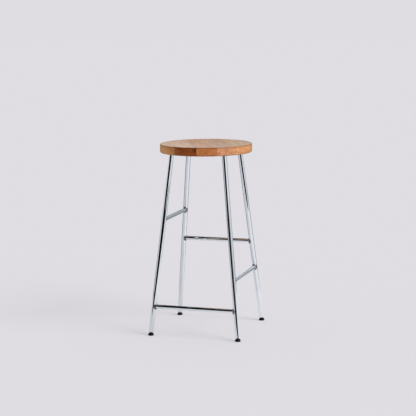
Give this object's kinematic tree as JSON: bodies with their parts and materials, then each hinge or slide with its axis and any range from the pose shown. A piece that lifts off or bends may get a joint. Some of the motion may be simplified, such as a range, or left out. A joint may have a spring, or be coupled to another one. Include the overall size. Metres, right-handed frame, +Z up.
{
  "type": "bar stool with footrest",
  "caption": "Bar stool with a round dished wooden seat, splayed chromed tube legs, rungs at stepped heights as footrests, and tilting foot pads.",
  "frame": {"origin": "on the floor, in the middle of the feet, straight under the seat's centre", "axes": "+Z up, through the seat's centre; +X to the right and +Y to the back, square to the sides of the leg frame, with the lowest rung at the front (-Y)"},
  "size_m": [0.3802, 0.3802, 0.75],
  "materials": {
    "seat_wood": "oiled, satin",
    "chrome_tube": "polished chrome plate",
    "chrome_weld": "chrome plate over ground weld metal",
    "plate_steel": "satin chrome plate",
    "screw_steel": "zinc plated",
    "plug_nylon": "moulded nylon",
    "stud_steel": "turned, black zinc plated",
    "pad_plastic": "moulded, semi-gloss"
  },
  "bodies": {
    "stool": {"seat_board_1": "seat_wood", "seat_board_2": "seat_wood", "seat_board_3": "seat_wood", "seat_board_4": "seat_wood", "seat_board_5": "seat_wood", "seat_plate": "plate_steel", "seat_screws": "screw_steel", "rung_front": "chrome_tube", "rung_front_weld_left": "chrome_weld", "rung_front_weld_right": "chrome_weld", "rung_right": "chrome_tube", "rung_right_weld_front": "chrome_weld", "rung_right_weld_back": "chrome_weld", "rung_back": "chrome_tube", "rung_back_weld_right": "chrome_weld", "rung_back_weld_left": "chrome_weld", "rung_left": "chrome_tube", "rung_left_weld_back": "chrome_weld", "rung_left_weld_front": "chrome_weld", "leg_front_left": "chrome_tube", "leg_weld_front_left": "chrome_weld", "glide_plug_front_left": "plug_nylon", "glide_stud_front_left": "stud_steel", "leg_front_right": "chrome_tube", "leg_weld_front_right": "chrome_weld", "glide_plug_front_right": "plug_nylon", "glide_stud_front_right": "stud_steel", "leg_back_right": "chrome_tube", "leg_weld_back_right": "chrome_weld", "glide_plug_back_right": "plug_nylon", "glide_stud_back_right": "stud_steel", "leg_back_left": "chrome_tube", "leg_weld_back_left": "chrome_weld", "glide_plug_back_left": "plug_nylon", "glide_stud_back_left": "stud_steel"},
    "pad_front_left": {"glide_pad_front_left": "pad_plastic"},
    "pad_front_right": {"glide_pad_front_right": "pad_plastic"},
    "pad_back_right": {"glide_pad_back_right": "pad_plastic"},
    "pad_back_left": {"glide_pad_back_left": "pad_plastic"}
  },
  "joints": [
    {"name": "tilt_front_left", "type": "hinge", "parent": "stool", "child": "pad_front_left", "pos_m": [-0.17884, -0.17884, 0.0066], "axis": [-0.7071, 0.7071, 0], "range_deg": [-6.5, 22.5]},
    {"name": "tilt_front_right", "type": "hinge", "parent": "stool", "child": "pad_front_right", "pos_m": [0.17884, -0.17884, 0.0066], "axis": [-0.7071, -0.7071, 0], "range_deg": [-6.5, 22.5]},
    {"name": "tilt_back_right", "type": "hinge", "parent": "stool", "child": "pad_back_right", "pos_m": [0.17884, 0.17884, 0.0066], "axis": [0.7071, -0.7071, 0], "range_deg": [-6.5, 22.5]},
    {"name": "tilt_back_left", "type": "hinge", "parent": "stool", "child": "pad_back_left", "pos_m": [-0.17884, 0.17884, 0.0066], "axis": [0.7071, 0.7071, 0], "range_deg": [-6.5, 22.5]}
  ]
}
